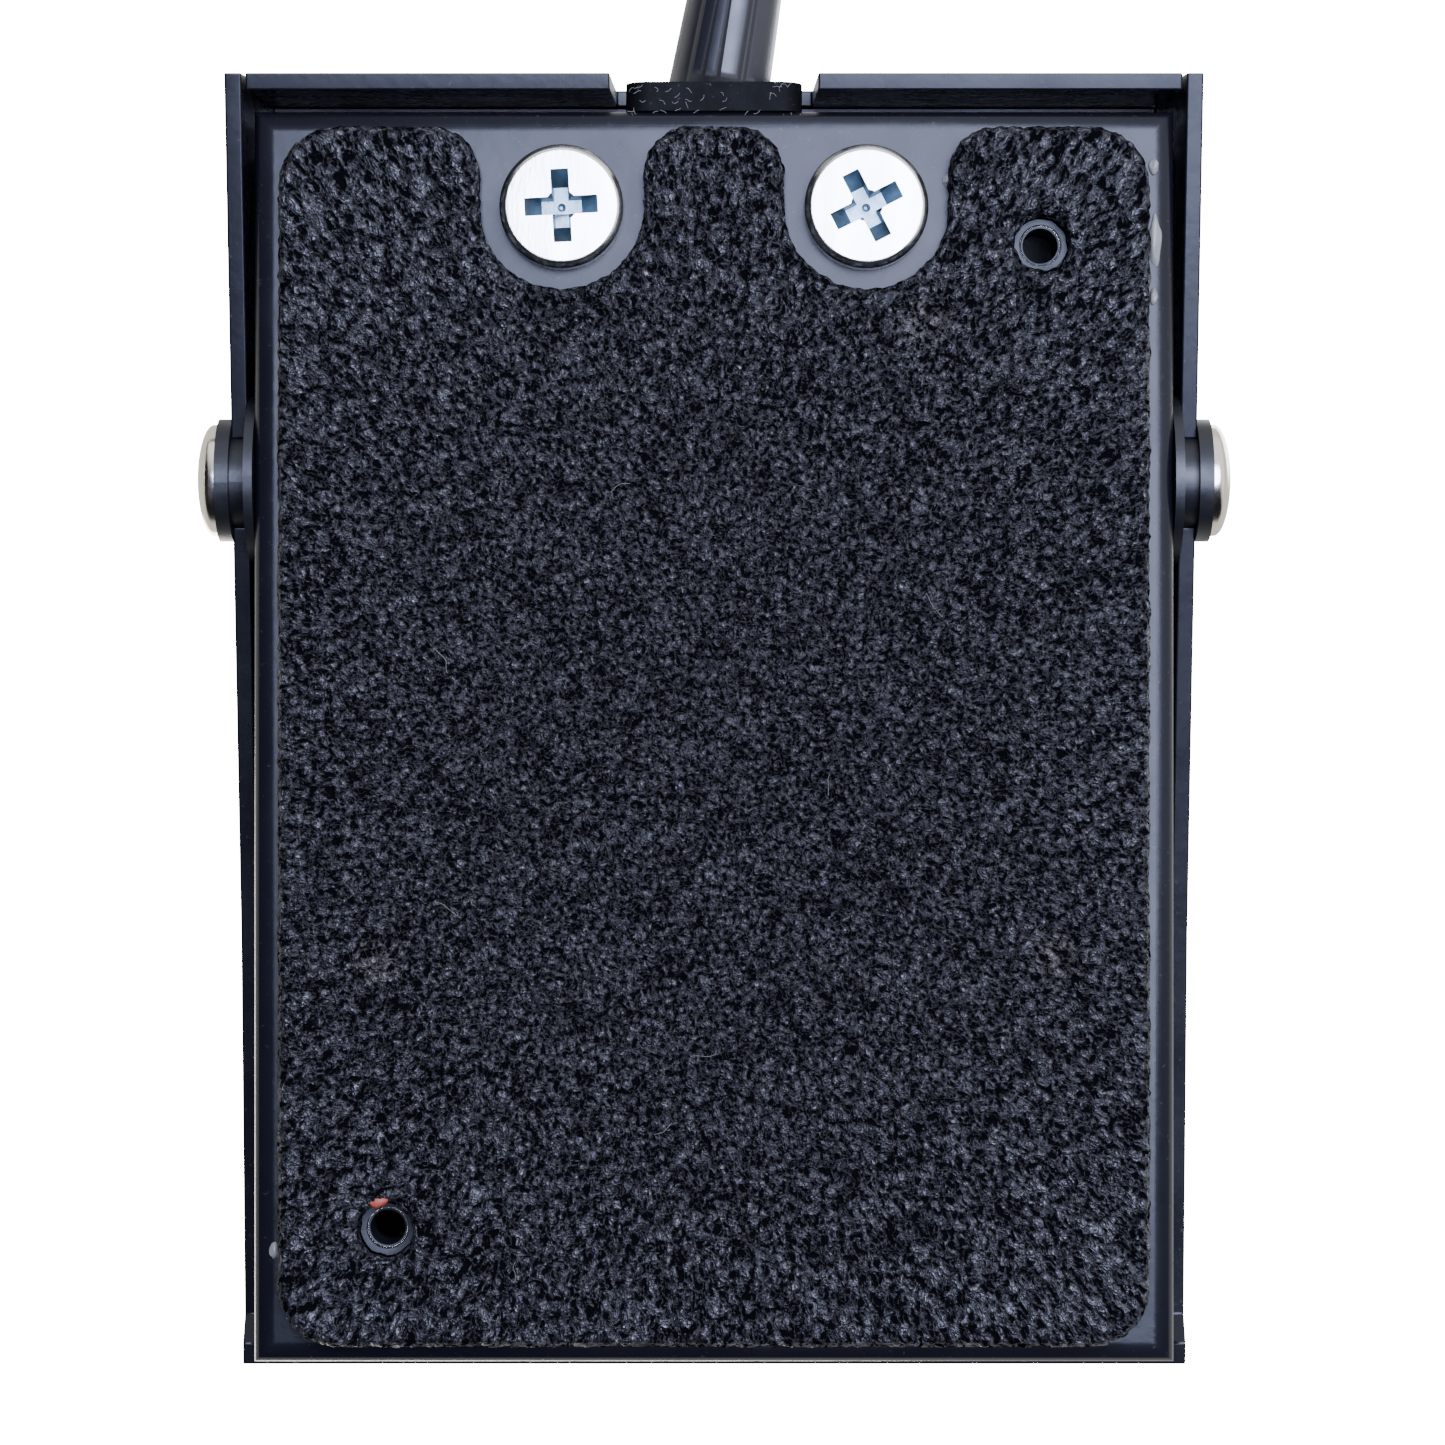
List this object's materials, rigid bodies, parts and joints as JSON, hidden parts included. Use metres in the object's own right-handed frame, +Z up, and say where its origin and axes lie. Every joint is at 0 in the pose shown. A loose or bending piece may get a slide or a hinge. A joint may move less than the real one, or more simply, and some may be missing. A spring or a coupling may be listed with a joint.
{
  "type": "volume pedal",
  "caption": "Foot-operated volume pedal: pressed steel base, rocking treadle, geared rotary control and an attached cable with a phone plug.",
  "frame": {"origin": "centre of the anti-slip pad's lower face", "axes": "+Z up, +Y towards the cable end, -Y towards the toe end, +X to the right seen from above"},
  "size_m": [0.1147, 0.1974, 0.0366],
  "materials": {
    "painted_steel": "baked semi-gloss black enamel on pressed steel",
    "pebbled_rubber": "pebbled black anti-slip rubber",
    "zinc": "bright zinc plate",
    "nickel": "nickel plate",
    "black_steel": "blackened steel",
    "black_vinyl": "moulded black PVC",
    "black_nylon": "moulded black nylon",
    "phenolic": "pressed phenolic board",
    "tinned_brass": "tinned brass",
    "stop_rubber": "moulded black rubber",
    "wire_vinyl": "vinyl insulation",
    "tie_vinyl": "flat vinyl tie",
    "plug_moulding": "moulded black PVC grip",
    "insulator": "moulded insulating ring",
    "tread_rubber": "ribbed black rubber",
    "acetal": "moulded natural acetal"
  },
  "bodies": {
    "base": {"base_pan": "painted_steel", "anti_slip_pad": "pebbled_rubber", "chassis_screws": "zinc", "chassis_nuts": "zinc", "mounting_inserts": "black_steel", "strain_relief": "black_vinyl", "cable_tail": "black_vinyl", "cable_clamp": "black_nylon", "pot_bracket": "zinc", "pot_case": "nickel", "pot_bushing": "nickel", "pot_wafer": "phenolic", "pot_terminals": "tinned_brass", "pot_washer": "nickel", "pot_nut": "nickel", "toe_stops": "stop_rubber", "heel_stops": "stop_rubber", "pivot_screws": "nickel", "pivot_nuts": "zinc", "friction_washers": "black_nylon", "hookup_wires": "wire_vinyl", "cable": "black_vinyl", "cable_coil": "black_vinyl", "coil_tie": "tie_vinyl", "cable_end": "black_vinyl", "plug_strain_relief": "black_vinyl", "plug_handle": "plug_moulding", "plug_sleeve": "nickel", "plug_ring": "nickel", "plug_insulators": "insulator", "plug_tip": "nickel"},
    "treadle": {"treadle_shell": "painted_steel", "tread_rubber": "tread_rubber", "pivot_bushes": "black_nylon", "sector_gear": "acetal", "sector_bracket": "zinc", "bracket_screws": "black_steel", "bracket_nuts": "zinc", "sector_rivets": "zinc"},
    "pot_rotor": {"pot_shaft": "nickel", "pot_wiper": "phenolic", "pinion": "acetal", "pinion_set_screw": "black_steel"}
  },
  "joints": [
    {"name": "treadle_hinge", "type": "hinge", "parent": "base", "child": "treadle", "pos_m": [0, 0.0184, 0.0085], "axis": [1, 0, 0], "range_deg": [0, 11]},
    {"name": "pot_spin", "type": "hinge", "parent": "base", "child": "pot_rotor", "pos_m": [0, -0.0149, 0.013], "axis": [1, 0, 0], "range_deg": [-66, 0]}
  ],
  "couplings": [
    {"joint": "pot_spin", "follows": "treadle_hinge", "ratio": -6}
  ]
}
